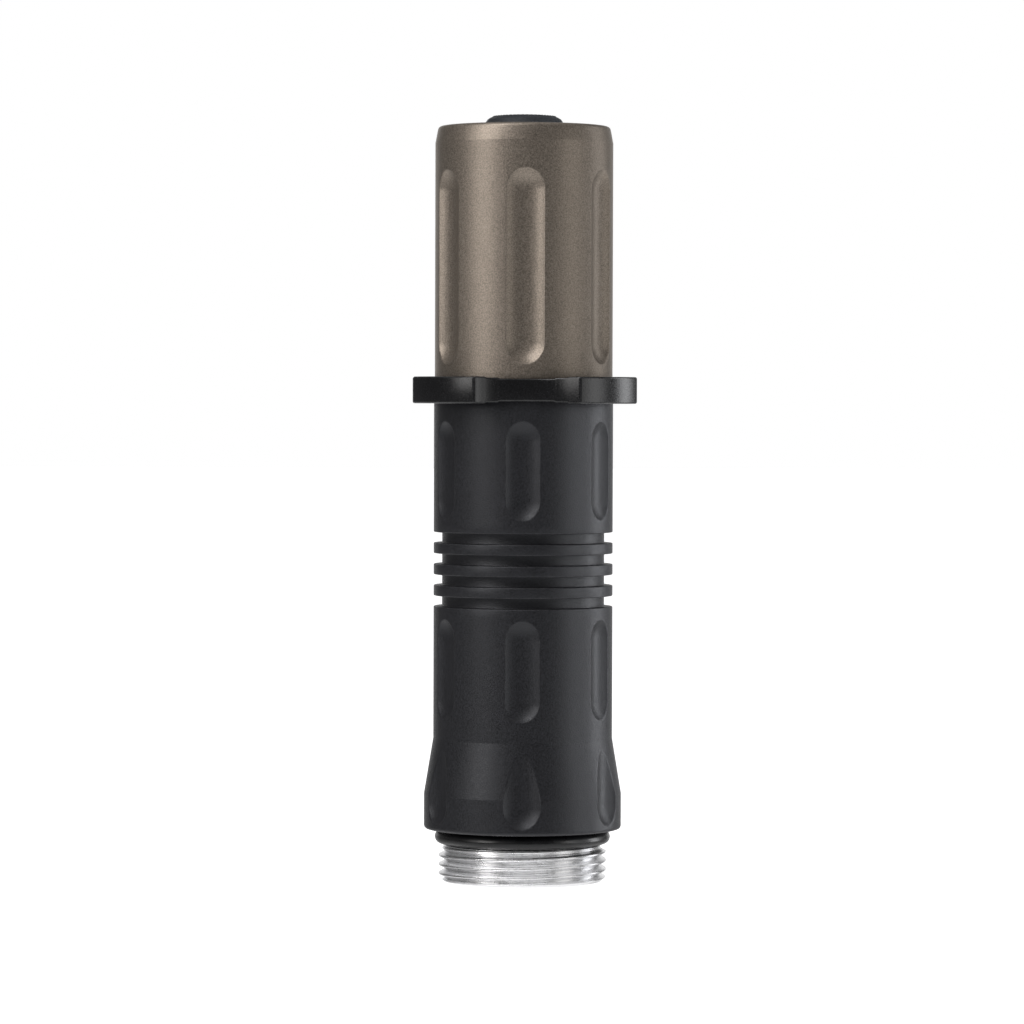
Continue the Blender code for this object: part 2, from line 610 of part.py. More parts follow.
def make_cell(steel, foil, plastic, film, parent):
    """One 18650 cell, positive end down: a can with a crimped lip, its roll, seal, cap and wrap."""
    can_radius = CELL_RADIUS - WRAP_WALL - SLIDE_GAP / 2
    inside = can_radius - CAN_WALL
    lip = inside - 0.0016
    lip_z = CELL_SETBACK + 2 * NUB_HEIGHT / 3
    can_height = CELL_TOP_Z - lip_z
    ceiling = can_height - CAN_WALL
    points = [(0.0, can_height), (can_radius, can_height), (can_radius, 0.0), (lip, 0.0)]
    points += [(lip, CAN_FOLD), (inside, CAN_FOLD), (inside, ceiling), (0.0, ceiling)]
    inner("cell_can", points, steel, lip_z, parent)
    wrap = tube_profile(CELL_RADIUS, can_radius + SLIDE_GAP / 2, can_height)
    inner("cell_wrap", wrap, film, lip_z, parent)
    seat = lip_z + CAN_FOLD + SEAT_GAP
    disc_radius = lip - 2 * SEAT_GAP
    disc = CAN_FOLD + NUB_HEIGHT / 4
    foot = seat - CELL_SETBACK
    nub = [(0.0, foot + disc), (disc_radius, foot + disc), (disc_radius, foot), (NUB_RADIUS, foot)]
    nub += [(NUB_RADIUS, 0.0), (0.0, 0.0)]
    inner("cell_positive_cap", nub, steel, CELL_SETBACK, parent)
    seal_height = 2 * disc
    seal = tube_profile(inside - SEAT_GAP, disc_radius + SEAT_GAP, seal_height)
    inner("cell_gasket", seal, plastic, seat, parent)
    insulator_z = seat + seal_height + SEAT_GAP
    inner("cell_insulator", disc_profile(inside - SEAT_GAP, CAN_FOLD), plastic, insulator_z, parent)
    roll_z = insulator_z + CAN_FOLD + SEAT_GAP
    roll_height = CELL_TOP_Z - CAN_WALL - SEAT_GAP - roll_z
    inner("electrode_roll", disc_profile(inside - SEAT_GAP, roll_height), foil, roll_z, parent)


def main():
    clear_scene()
    black = material("black_anodised", (0.022, 0.022, 0.024), 0.5, 0.4)
    tan = material("tan_anodised", (0.23, 0.17, 0.125), 0.45, 0.6)
    rubber = material("black_rubber", (0.02, 0.02, 0.02), 0.75, 0.0)
    plastic = material("black_plastic", (0.03, 0.03, 0.03), 0.5, 0.0)
    natural = material("natural_plastic", (0.7, 0.68, 0.62), 0.45, 0.0)
    steel = material("nickel_plated_steel", (0.6, 0.59, 0.56), 0.3, 1.0)
    gold = material("gold_plated_contact", (0.8, 0.6, 0.25), 0.25, 1.0)
    laminate = material("glass_laminate", (0.03, 0.12, 0.05), 0.45, 0.0)
    foil = material("electrode_foil", (0.5, 0.48, 0.46), 0.4, 0.8)
    film = material("cell_film", (0.06, 0.14, 0.3), 0.35, 0.0)
    ring_axis = joint_empty("grip_ring_axis")
    cap_axis = joint_empty("tailcap_axis", ring_axis)
    button_axis = joint_empty("button_axis", cap_axis)
    rotor_axis = joint_empty("rotor_axis", button_axis)
    cell_axis = joint_empty("cell_axis")
    make_tube(black)
    make_seals(rubber)
    make_ring(black, ring_axis)
    make_tailcap(tan, cap_axis)
    make_boot(rubber, cap_axis)
    make_housing(plastic, cap_axis)
    make_board(laminate, cap_axis)
    make_terminals(gold, cap_axis)
    make_retainer(steel, cap_axis)
    make_plunger(natural, button_axis)
    make_rotor(natural, gold, rotor_axis)
    make_springs(steel, cap_axis, button_axis)
    make_cell(steel, foil, plastic, film, cell_axis)
    for part in [obj for obj in PARTS.objects if obj.type == "MESH"]:
        apply_and_smooth(part)


main()
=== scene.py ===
"""Looks of the tactical flashlight body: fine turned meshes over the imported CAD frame, and its materials.

Metres, +Z up, in the CAD frame. Levels and radii come from the frame's nodes. A few sizes that the
frame doesn't state, such as a flute's depth, are named below.
"""

import json
import math

import bmesh
import bpy
import numpy as np
from mathutils import Matrix, Vector


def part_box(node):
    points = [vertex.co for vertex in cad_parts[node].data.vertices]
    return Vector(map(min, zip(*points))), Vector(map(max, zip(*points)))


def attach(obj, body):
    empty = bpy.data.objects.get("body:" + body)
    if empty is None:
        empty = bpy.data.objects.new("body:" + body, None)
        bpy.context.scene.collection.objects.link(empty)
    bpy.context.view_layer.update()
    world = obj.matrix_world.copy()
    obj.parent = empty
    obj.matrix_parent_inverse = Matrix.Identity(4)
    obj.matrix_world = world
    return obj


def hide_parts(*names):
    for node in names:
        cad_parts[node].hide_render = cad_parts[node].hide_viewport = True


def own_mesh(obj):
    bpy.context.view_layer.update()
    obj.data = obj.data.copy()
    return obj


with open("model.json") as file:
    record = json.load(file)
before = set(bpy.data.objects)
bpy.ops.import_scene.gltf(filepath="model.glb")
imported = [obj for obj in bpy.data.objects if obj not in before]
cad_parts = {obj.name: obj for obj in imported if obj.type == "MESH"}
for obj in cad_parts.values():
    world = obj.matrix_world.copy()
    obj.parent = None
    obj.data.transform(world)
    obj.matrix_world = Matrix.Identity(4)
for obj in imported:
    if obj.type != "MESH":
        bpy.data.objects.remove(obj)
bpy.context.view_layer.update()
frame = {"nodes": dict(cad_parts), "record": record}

MM = 0.001
RING_COLUMNS = 720  # points round the axis, by piece
THREAD_COLUMNS = 360
NECK_COLUMNS = 288
LINING_COLUMNS = 180
BOOT_COLUMNS = 384
SEAL_COLUMNS = 256
CELL_COLUMNS = 192
FILM = 0.12 * MM  # thickness of the cell's wrap
EDGE = 0.13 * MM  # radius on an ordinary turned corner
CORNER_BEND = 350  # curvature, per metre, at which a corner starts to show its pale colour: wear, and on the ring a painted highlight
CORNER_SPAN = 2200  # and how much more of it shows the most
PITCH = 1.27 * MM  # of both threads
THREAD_DEPTH = 0.8 * MM
TAIL_THREAD_DEPTH = 0.55 * MM
HEAD_PHASE = 0.4 * MM  # height of a head thread's crest at angle 0
HEAD_LAND = 5.1 * MM  # height of the bare thread's upper end
BALL = 4.5 * MM  # radius of the cutter that makes the flutes
BALL_REACH = 3.5 * MM  # how far a flute's round end runs along the axis, with some room
BELT_MARGIN = 0.3 * MM  # how far past its ends a belt of flutes is shaped
BODY_FLUTE = 0.93 * MM  # depths of the flutes
FLARE_FLUTE = 1.08 * MM
CAP_FLUTE = 1.2 * MM
FLUTES = 6
BODY_PHASE = math.radians(-0.5)  # how far each piece is turned from the camera's line
CAP_PHASE = math.radians(0.8)
RING_PHASE = math.radians(1.5)
FLUTE_EDGE = 0.03 * MM  # how far a flute's edge is softened
GROOVES = 4
GROOVE_WIDTH = 1.5 * MM
GROOVE_PITCH = 3.0 * MM
GROOVE_DEPTH = 1.2 * MM
RING_R = 17.4 * MM
RING_BORE = 11.6 * MM
RING_TERRACES = (1.5 * MM, 2.7 * MM, 4.0 * MM)  # from the bore to each step of a face
RING_RISE = 0.22 * MM
SCALLOP_DEPTH = 3.9 * MM
SCALLOP_R = 13.2 * MM
LOBES = 4
BOOT_R = 5.87 * MM
NUB_PITCH = 0.62 * MM
NUB_R = 0.24 * MM
NUB_HEIGHT = 0.17 * MM


def low(node):
    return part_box(node)[0].z


def high(node):
    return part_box(node)[1].z


def radius(node):
    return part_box(node)[1].x


# Levels and radii that several pieces share
CAP_R = radius("tailcap_shell")
CAP_Z = low("tailcap_shell")
CAP_TOP = high("tailcap_shell")
NECK_Z = CAP_Z - 0.6 * MM
FLARE_R = radius("battery_tube")
NECK_TOP = high("battery_tube")
BODY_R = CAP_R + 0.1 * MM
FLUTED_R = BODY_R - 0.6 * MM  # a profile's points outside this radius are cut by the flutes
SHOULDER_Z = 7.4 * MM
FLARE_Z = SHOULDER_Z + 5.0 * MM
CONE_Z = FLARE_Z + 7.85 * MM
FINS_Z = CONE_Z + 18.73 * MM
UPPER_Z = FINS_Z + GROOVE_WIDTH + (GROOVES - 1) * GROOVE_PITCH
RING_LOW = low("anti_roll_ring")
RING_HIGH = high("anti_roll_ring")
RING_HUB = RING_HIGH - RING_LOW - 6 * RING_RISE
SEAT_Z = NECK_Z - RING_HUB
BORE = radius("cell_wrap") + 0.15 * MM
TAIL_ROOT = BORE + 0.6 * MM
TAIL_CREST = TAIL_ROOT + TAIL_THREAD_DEPTH
COLLAR = TAIL_CREST + 0.75 * MM
HEAD_GROOVE = BORE + 0.85 * MM
HEAD_ROOT = BORE + 1.7 * MM
BOOT_TOP = high("switch_boot")


# Mesh code


def corner_arc(before, corner, after, size, steps):
    """Points that round one corner of a profile with an arc of radius size, as far as its sides allow."""
    a = np.subtract(before, corner)
    b = np.subtract(after, corner)
    la, lb = np.hypot(*a), np.hypot(*b)
    a, b = a / la, b / lb
    half = 0.5 * math.acos(float(np.clip(a @ b, -1, 1)))
    if half < 0.05 or half > math.pi / 2 - 0.02:
        return [tuple(corner)]
    cut = min(size / math.tan(half), 0.45 * la, 0.45 * lb)
    start, end = corner + a * cut, corner + b * cut
    centre = corner + (a + b) / np.hypot(*(a + b)) * (cut / math.cos(half))
    first = math.atan2(*(start - centre)[::-1])
    turn = math.atan2(*(end - centre)[::-1]) - first
    turn = (turn + math.pi) % (2 * math.pi) - math.pi
    size = np.hypot(*(start - centre))
    angles = first + turn * np.linspace(0, 1, steps + 1)
    return [tuple(centre + size * np.array([math.cos(t), math.sin(t)])) for t in angles]


def rounded(points, size=EDGE, steps=4, closed=True, sizes=None):
    """A turned profile with its corners rounded. sizes gives some corners, by number, their own radius."""
    points = np.array(points, float)
    count = len(points)
    out = []
    for i, corner in enumerate(points):
        if not closed and i in (0, count - 1):
            out.append(tuple(corner))
            continue
        own = (sizes or {}).get(i, size)
        out += corner_arc(points[i - 1], corner, points[(i + 1) % count], own, steps)
    return out


def filled(profile, spacing, closed=True):
    """The same profile with points added so that none are further apart than spacing allows.

    spacing is a length, or a function of a point's place that gives one.
    """
    limit = spacing if callable(spacing) else lambda point: spacing

    def halves(a, b):
        """The points from a up to but not including b."""
        middle = ((a[0] + b[0]) / 2, (a[1] + b[1]) / 2)
        if math.hypot(b[0] - a[0], b[1] - a[1]) <= min(limit(a), limit(middle), limit(b)):
            return [a]
        return halves(a, middle) + halves(middle, b)

    out = []
    for a, b in zip(profile, profile[1:] + profile[:1] if closed else profile[1:]):
        out += halves(a, b)
    return out if closed else out + [profile[-1]]


def grid_object(name, points, closed_rows):
    """A mesh from points[column, row]. Columns close round the axis, rows close if the profile does."""
    columns, rows = points.shape[:2]
    c = np.arange(columns)
    last = rows if closed_rows else rows - 1
    r = np.arange(last)
    cc, rr = np.meshgrid(c, r, indexing="ij")
    nc, nr = (cc + 1) % columns, (rr + 1) % rows
    corners = [cc * rows + rr, cc * rows + nr, nc * rows + nr, nc * rows + rr]
    faces = np.stack(corners, -1).reshape(-1, 4)
    mesh = bpy.data.meshes.new(name)
    mesh.vertices.add(columns * rows)
    mesh.vertices.foreach_set("co", points.reshape(-1))
    mesh.loops.add(faces.size)
    mesh.loops.foreach_set("vertex_index", faces.reshape(-1).astype(np.int32))
    mesh.polygons.add(len(faces))
    mesh.polygons.foreach_set("loop_start", np.arange(0, faces.size, 4, dtype=np.int32))
    mesh.update(calc_edges=True)
    mesh.validate()
    mesh.shade_smooth()
    obj = bpy.data.objects.new(name, mesh)
    bpy.context.scene.collection.objects.link(obj)
    return obj


def weld(obj, distance=1e-7):
    """Merge the points that a closed end or a clipped row left in one place."""
    bm = bmesh.new()
    bm.from_mesh(obj.data)
    bmesh.ops.remove_doubles(bm, verts=bm.verts, dist=distance)
    bm.to_mesh(obj.data)
    bm.free()
    obj.data.shade_smooth()


def sweep(profile, columns, shape=None):
    """points[column, row] of a profile turned round Z, with columns a count or a list of angles.

    shape(theta, r, z) gives the points' radii and heights in place of the profile's own.
    """
    even = np.isscalar(columns)
    theta = np.arange(columns) * 2 * math.pi / columns if even else np.asarray(columns)
    r = np.array([p[0] for p in profile])[None, :]
    z = np.array([p[1] for p in profile])[None, :]
    t = theta[:, None]
    rr = np.broadcast_to(r, (len(theta), r.shape[1])).copy()
    zz = np.broadcast_to(z, rr.shape).copy()
    if shape:
        rr, zz = shape(np.broadcast_to(t, rr.shape), rr, zz)
    return np.stack([rr * np.cos(t), rr * np.sin(t), zz], -1)


def turned(name, points, columns, size=EDGE, sizes=None, spacing=2.0 * MM, shape=None, steps=4):
    """A closed turned piece with rounded corners. Its profile runs down the outside, then up the inside.

    A profile that starts on the axis is a solid disc or pin.
    """
    closed = points[0][0] > 0
    profile = filled(rounded(points, size, steps, closed, sizes), spacing, closed)
    obj = grid_object(name, sweep(profile, columns, shape), closed)
    if not closed:
        weld(obj)
    return obj


def smooth_min(a, b, width):
    """The smaller of two heights, with the crease between them rounded over this width."""
    h = np.clip(0.5 + 0.5 * (b - a) / width, 0, 1)
    return b + (a - b) * h - width * h * (1 - h)


def flute_cut(theta, z, surface, depth, bottom, top, open_top=False):
    """Radius of the nearest ball-cut flute's wall at each angle and height, far out where there is none.

    The angle is measured from the middle of a flute.
    """
    axis = surface + BALL - depth
    reach = math.sqrt(BALL**2 - (BALL - depth) ** 2)
    t = (theta + math.pi / FLUTES) % (2 * math.pi / FLUTES) - math.pi / FLUTES
    upper = top if open_top else top - reach
    beyond = np.maximum(0, z - upper) + np.maximum(0, bottom + reach - z)
    inside = BALL**2 - beyond**2 - (axis * np.sin(t)) ** 2
    wall = axis * np.cos(t) - np.sqrt(np.maximum(inside, 0))
    return np.where(inside > 0, wall, 2 * axis)


def flute_columns(surface, depth, phase):
    """Angles for a fluted piece: close together over a flute and closest at its edges."""
    axis = surface + BALL - depth
    edge = math.acos((axis**2 + surface**2 - BALL**2) / (2 * axis * surface))
    sector = 2 * math.pi / FLUTES
    inner = np.linspace(0, edge - 0.02, 16, endpoint=False)
    rim = np.linspace(edge - 0.02, edge + 0.02, 10, endpoint=False)
    outer = np.linspace(edge + 0.02, sector / 2, 9, endpoint=False)
    half = np.concatenate([inner, rim, outer])
    whole = np.concatenate([-half[:0:-1], half])
    whole = np.append(whole, sector / 2)
    return np.concatenate([whole + k * sector + phase - math.pi / 2 for k in range(FLUTES)])


def thread_height(theta, z, phase, crest_share=0.16, root_share=0.12):
    """0 at the root and 1 at the crest of a right-hand thread, with both slightly flat and rounded."""
    place = ((z - phase) / PITCH - theta / (2 * math.pi) + 0.5) % 1.0 - 0.5
    ramp = (0.5 - root_share / 2 - np.abs(place)) / (0.5 - root_share / 2 - crest_share / 2)
    ramp = np.clip(ramp, 0, 1)
    return ramp * ramp * (3 - 2 * ramp) * 0.35 + ramp * 0.65


# Pieces


def finish_piece(obj, body, slot, *nodes):
    """Set a finished piece on its body, in place of the CAD nodes that it stands for."""
    mark_edges(obj)
    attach(obj, body)
    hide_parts(*nodes)
    return obj


def mark_edges(obj):
    """Store how sharply convex the surface is at each point, from 0 to 1, for pale corners: wear, and on
    the ring a painted highlight.
    """
    mesh = obj.data
    count = len(mesh.vertices)
    place = np.empty(count * 3, np.float32)
    mesh.vertices.foreach_get("co", place)
    normal = np.empty(count * 3, np.float32)
    mesh.vertices.foreach_get("normal", normal)
    ends = np.empty(len(mesh.edges) * 2, np.int32)
    mesh.edges.foreach_get("vertices", ends)
    place, normal, ends = place.reshape(-1, 3), normal.reshape(-1, 3), ends.reshape(-1, 2)
    bend = np.zeros(count)
    uses = np.zeros(count)
    for a, b in ((ends[:, 0], ends[:, 1]), (ends[:, 1], ends[:, 0])):
        step = place[b] - place[a]
        length = np.maximum((step**2).sum(1), 1e-14)
        np.add.at(bend, a, np.maximum(0, -(normal[a] * step).sum(1) / length))
        np.add.at(uses, a, 1)
    curve = bend / np.maximum(uses, 1)
    sharp = np.clip((curve - CORNER_BEND) / CORNER_SPAN, 0, 1)
    layer = mesh.attributes.new("edge", "FLOAT", "POINT")
    layer.data.foreach_set("value", sharp.astype(np.float32))


BELTS = (  # surface radius, depth, lower end, upper end, runs out at the top
    (FLARE_R, FLARE_FLUTE, SHOULDER_Z + 0.9 * MM, CONE_Z, True),
    (BODY_R, BODY_FLUTE, CONE_Z + 2.9 * MM, FINS_Z - 1.7 * MM, False),
    (BODY_R, BODY_FLUTE, UPPER_Z + 1.8 * MM, SEAT_Z - 2.9 * MM, False),
)
CAP_BELT = (CAP_R, CAP_FLUTE, CAP_Z + 2.1 * MM, CAP_TOP - 6.4 * MM, False)


def belt_spacing(belts):
    """Rows close together at the round ends of each belt of flutes, and far apart elsewhere."""

    def spacing(point):
        r, z = point
        for _, _, bottom, top, open_top in belts:
            near_bottom = bottom - BELT_MARGIN < z < bottom + BALL_REACH
            near_top = top - BALL_REACH < z < top + BELT_MARGIN
            curved = near_bottom or near_top or (open_top and bottom < z < top)
            if r > FLUTED_R and curved:
                return 0.2 * MM
        return 1.6 * MM

    return spacing


def cut_belts(belts, phase):
    """A shape function that sinks the flutes of these belts into a turned surface."""

    def shape(theta, r, z):
        angle = theta + math.pi / 2 - phase
        out = r.copy()
        for surface, depth, bottom, top, open_top in belts:
            cut = flute_cut(angle, z, surface, depth, bottom, top, open_top)
            near = (r > FLUTED_R) & (z > bottom - BELT_MARGIN) & (z < top + BELT_MARGIN)
            out = np.where(near, smooth_min(out, cut, FLUTE_EDGE), out)
        return out, z

    return shape


def body_outline():
    """The tube's profile without its threads: down the outside from the neck, then up the bore."""
    points = [(COLLAR, NECK_Z), (COLLAR, SEAT_Z), (BODY_R, SEAT_Z)]
    for i in range(GROOVES):
        top = UPPER_Z - i * GROOVE_PITCH
        points += [(BODY_R, top), (BODY_R - GROOVE_DEPTH, top)]
        points += [(BODY_R - GROOVE_DEPTH, top - GROOVE_WIDTH), (BODY_R, top - GROOVE_WIDTH)]
    points += [(BODY_R, CONE_Z), (FLARE_R, FLARE_Z), (FLARE_R, SHOULDER_Z)]
    gland = radius("head_oring") + 0.2 * MM
    gland_z = SHOULDER_Z + 0.2 * MM
    points += [(gland, SHOULDER_Z), (gland, gland_z), (HEAD_GROOVE, gland_z)]
    return points + [(HEAD_GROOVE, HEAD_LAND), (BORE, HEAD_LAND), (BORE, NECK_Z)]


def make_body():
    outline = body_outline()
    foot = outline.index((FLARE_R, SHOULDER_Z))
    sizes = {foot: 0.45 * MM, foot - 1: 0.8 * MM, foot - 2: 0.8 * MM}
    columns = flute_columns(BODY_R, BODY_FLUTE, BODY_PHASE)
    body = turned("tube_body", outline, columns, sizes=sizes, spacing=belt_spacing(BELTS),
                  shape=cut_belts(BELTS, BODY_PHASE), steps=3)
    return finish_piece(body, "tube", "black_anodised", "battery_tube")


def head_thread_shape(theta, r, z):
    """The bare thread: full depth from the chamfered end until it runs out below the O-ring's groove."""
    turn = theta / (2 * math.pi)
    run_out = np.clip((HEAD_LAND - 0.35 * MM - z + PITCH * turn * 0.3) / (0.7 * MM), 0, 1)
    ridge = HEAD_ROOT + THREAD_DEPTH * thread_height(theta, z, HEAD_PHASE) * run_out
    chamfered = np.minimum(ridge, HEAD_ROOT + 0.15 * MM + 1.1 * z)
    return np.where(r > HEAD_ROOT - 0.2 * MM, chamfered, r), z


def make_head_thread():
    points = [(HEAD_ROOT, HEAD_LAND), (HEAD_ROOT, 0.0), (BORE, 0.0), (BORE, HEAD_LAND)]

    def spacing(point):
        return 0.045 * MM if point[0] > HEAD_ROOT - 0.2 * MM else 0.5 * MM

    thread = turned("head_thread", points, THREAD_COLUMNS, size=0.04 * MM, spacing=spacing,
                    shape=head_thread_shape, steps=2)
    return finish_piece(thread, "tube", "bare_aluminium", "battery_tube")


def make_neck():
    """The tail end of the tube: the O-ring's groove, its land and the thread that the cap screws on to."""
    land = NECK_Z + 2.4 * MM
    start = land + 0.6 * MM
    points = [(TAIL_ROOT, NECK_TOP), (TAIL_ROOT, start), (TAIL_CREST, start), (TAIL_CREST, land)]
    points += [(TAIL_ROOT, land), (TAIL_ROOT, NECK_Z), (BORE, NECK_Z), (BORE, NECK_TOP)]

    def spacing(point):
        threaded = start < point[1] and abs(point[0] - TAIL_ROOT) < 0.01 * MM
        return 0.07 * MM if threaded else 1.0 * MM

    def shape(theta, r, z):
        fade = np.clip((z - start - 0.25 * MM) / (0.5 * MM), 0, 1)
        fade *= np.clip((NECK_TOP - 0.4 * MM - z) / (0.5 * MM), 0, 1)
        ridge = TAIL_ROOT + TAIL_THREAD_DEPTH * thread_height(theta, z, 0.0) * fade
        return np.where((z > start + 0.05 * MM) & (r > TAIL_ROOT - 0.1 * MM), ridge, r), z

    neck = turned("tail_neck", points, NECK_COLUMNS, size=0.08 * MM, spacing=spacing, shape=shape,
                  steps=2)
    return finish_piece(neck, "tube", "bare_aluminium", "battery_tube")


def make_cap():
    opening = BOOT_R + 0.06 * MM
    seal = TAIL_CREST + 0.65 * MM
    wall = TAIL_CREST + 0.2 * MM
    thread_z = CAP_Z + 2.7 * MM
    stop = NECK_TOP + 0.3 * MM
    chamber = 9.6 * MM
    inside_top = CAP_TOP - 1.0 * MM
    points = [(opening, CAP_TOP), (CAP_R - 0.45 * MM, CAP_TOP)]
    points += [(CAP_R, CAP_TOP - 2.4 * MM), (CAP_R, CAP_Z)]
    points += [(seal, CAP_Z), (seal, thread_z), (wall, thread_z), (wall, stop)]
    points += [(chamber, stop), (chamber, inside_top), (opening, inside_top)]
    sizes = {1: 0.6 * MM, 2: 0.25 * MM}
    columns = flute_columns(CAP_R, CAP_FLUTE, CAP_PHASE)
    cap = turned("tailcap", points, columns, sizes=sizes, spacing=belt_spacing([CAP_BELT]),
                 shape=cut_belts([CAP_BELT], CAP_PHASE), steps=5)
    return finish_piece(cap, "tailcap", "tan_anodised", "tailcap_shell")


def make_cap_thread():
    """The cap's inside thread, a thin lining of the wall that the cap piece leaves plain."""
    wall = TAIL_CREST + 0.2 * MM - 0.01 * MM
    bottom = CAP_Z + 2.8 * MM
    top = NECK_TOP + 0.2 * MM
    root = wall - 0.02 * MM
    between = wall - 0.015 * MM
    points = [(wall, top), (wall, bottom), (root, bottom), (root, top)]

    def shape(theta, r, z):
        fade = np.clip((z - bottom) / (0.6 * MM), 0, 1) * np.clip((top - z) / (0.6 * MM), 0, 1)
        ridge = root - TAIL_THREAD_DEPTH * thread_height(theta, z, PITCH / 2) * fade
        return np.where(r < between, ridge, r), z

    def spacing(point):
        return 0.12 * MM if point[0] < between else 2.0 * MM

    lining = turned("tailcap_thread", points, LINING_COLUMNS, size=0.001 * MM, spacing=spacing,
                    shape=shape, steps=1)
    return finish_piece(lining, "tailcap", "bare_aluminium", "tailcap_shell")


def lobed_radius(theta):
    """The ring's outline: a circle with a round scallop between each pair of lobes."""
    centre = RING_R - SCALLOP_DEPTH + SCALLOP_R
    sector = 2 * math.pi / LOBES
    t = (theta - RING_PHASE + sector / 2) % sector - sector / 2
    inside = SCALLOP_R**2 - (centre * np.sin(t)) ** 2
    near_side = centre * np.cos(t) - np.sqrt(np.maximum(inside, 0))
    scallop = np.where(inside > 0, near_side, 2 * RING_R)
    return smooth_min(np.full_like(theta, RING_R), scallop, 0.3 * MM)


def make_ring():
    """Four lobes with terraced faces. No column passes the outline, so the rim follows it exactly."""
    fillet = 0.28 * MM
    seat = 0.25 * MM  # the visible hub fills most of the seat gaps
    hub = RING_HUB / 2 + seat
    rise = (RING_HIGH - RING_LOW - 2 * hub) / 6
    steps = np.array([RING_BORE + offset for offset in RING_TERRACES])
    ramp = 0.16 * MM

    def face(r):
        up = np.zeros_like(r)
        for step in steps:
            s = np.clip((r - step) / ramp, 0, 1)
            up += rise * s * s * (3 - 2 * s)
        return hub + up

    theta = np.arange(RING_COLUMNS) * 2 * math.pi / RING_COLUMNS
    limit = (lobed_radius(theta) - fillet)[:, None]
    radial = [RING_BORE + fillet * (1 - math.cos(a)) for a in np.linspace(0, math.pi / 2, 4)]
    lift = [-fillet * (1 - math.sin(a)) for a in np.linspace(0, math.pi / 2, 4)]
    between = np.concatenate([np.linspace(s - 0.06 * MM, s + ramp + 0.06 * MM, 8) for s in steps])
    extra = [RING_BORE + 0.9 * MM, steps[0] + 0.7 * MM, steps[1] + 0.8 * MM, steps[2] + 0.9 * MM]
    extra.append(RING_R - fillet)
    radial += sorted([*between, *extra])
    lift += [0.0] * (len(radial) - 4)
    r = np.minimum(np.array(radial)[None, :], limit)
    z = face(r) + np.array(lift)[None, :]
    angles = np.linspace(math.pi / 2, 0, 5)[None, :]
    rim_r = limit + fillet * np.cos(angles)
    rim_z = face(limit) - fillet + fillet * np.sin(angles)
    upper_r = np.concatenate([r, rim_r[:, 1:]], 1)
    upper_z = np.concatenate([z, rim_z[:, 1:]], 1)
    all_r = np.concatenate([upper_r, upper_r[:, ::-1]], 1)
    all_z = np.concatenate([upper_z, -upper_z[:, ::-1]], 1) + (RING_LOW + RING_HIGH) / 2
    t = theta[:, None]
    points = np.stack([all_r * np.cos(t), all_r * np.sin(t), all_z], -1)
    ring = grid_object("anti_roll_ring_fine", points, True)
    weld(ring)
    return finish_piece(ring, "grip_ring", "black_anodised", "anti_roll_ring")


def make_seal(name, node, body):
    """A moulded O-ring with the faint flash line that its mould leaves round the outside."""
    bottom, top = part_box(node)
    section = (top.z - bottom.z) / 2
    middle = top.x - section
    angles = np.linspace(math.pi / 2, -1.5 * math.pi, 48, endpoint=False)
    profile = []
    for a in angles:
        flash = 0.03 * MM * math.exp(-((math.atan2(math.sin(a), math.cos(a)) / 0.06) ** 2))
        size = section + flash
        height = (top.z + bottom.z) / 2 + size * math.sin(a)
        profile.append((middle + size * math.cos(a), height))
    seal = grid_object(name, sweep(profile, SEAL_COLUMNS), True)
    return finish_piece(seal, body, "rubber", node)


def boot_nubs(theta, r, z):
    """Small round nubs in rings on the button's top face."""
    ring = np.round(r / NUB_PITCH)
    count = np.maximum(1, np.round(2 * math.pi * ring))
    around = theta * count / (2 * math.pi)
    off = (around - np.round(around)) / count * 2 * math.pi * ring * NUB_PITCH
    distance = np.hypot(r - ring * NUB_PITCH, np.where(ring > 0, off, 0))
    height = np.clip(1 - (distance / NUB_R) ** 2, 0, 1) ** 0.7
    on_top = (z > BOOT_TOP - 0.45 * MM) & (ring * NUB_PITCH < 4.75 * MM)
    return r, z + np.where(on_top, NUB_HEIGHT * height, 0)


def make_boot():
    """The tail button's rubber boot, drawn at rest: nothing here shortens it when the button is pressed."""
    base = low("switch_boot")
    flange = base + 1.6 * MM
    stack = 9.2 * MM
    hollow = 4.8 * MM
    ceiling = BOOT_TOP - 1.45 * MM
    top = BOOT_TOP - 0.15 * MM  # the nubs reach the rest of the way
    points = [(0.0, top), (1.8 * MM, top - 0.02 * MM), (3.4 * MM, top - 0.09 * MM)]
    points += [(4.75 * MM, top - 0.22 * MM)]
    points += [(5.2 * MM, top - 0.5 * MM), (BOOT_R, top - 1.5 * MM)]
    points += [(BOOT_R, flange), (stack, flange), (stack, base), (hollow, base)]
    points += [(hollow, flange), (3.4 * MM, ceiling), (0.0, ceiling)]

    def spacing(point):
        return 0.07 * MM if point[1] > top - 0.4 * MM else 0.3 * MM

    sizes = {3: 0.3 * MM, 4: 0.3 * MM}
    boot = turned("button_boot", points, BOOT_COLUMNS, size=0.12 * MM, sizes=sizes,
                  spacing=spacing, shape=boot_nubs)
    finish_piece(boot, "tailcap", "rubber", "switch_boot")
    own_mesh(boot)
    return boot


def make_wrap():
    """The cell's printed film, shrunk over both its rims. The positive end is down."""
    z0, z1 = low("cell_wrap"), high("cell_wrap")
    r = radius("cell_wrap")
    inner = r - FILM
    bottom = z0 - 0.1 * MM
    points = [(inner - 2.2 * MM, z1 + 0.15 * MM), (r, z1 + 0.15 * MM), (r, bottom)]
    points += [(inner - 1.3 * MM, bottom), (inner - 1.3 * MM, z0), (inner, z0)]
    points += [(inner, z1 + 0.05 * MM), (inner - 2.2 * MM, z1 + 0.05 * MM)]
    sizes = {1: 0.6 * MM, 2: 0.7 * MM, 5: 0.5 * MM, 6: 0.45 * MM}
    wrap = turned("cell_wrap_fine", points, CELL_COLUMNS, size=0.03 * MM, sizes=sizes)
    return finish_piece(wrap, "battery", "cell_film", "cell_wrap")


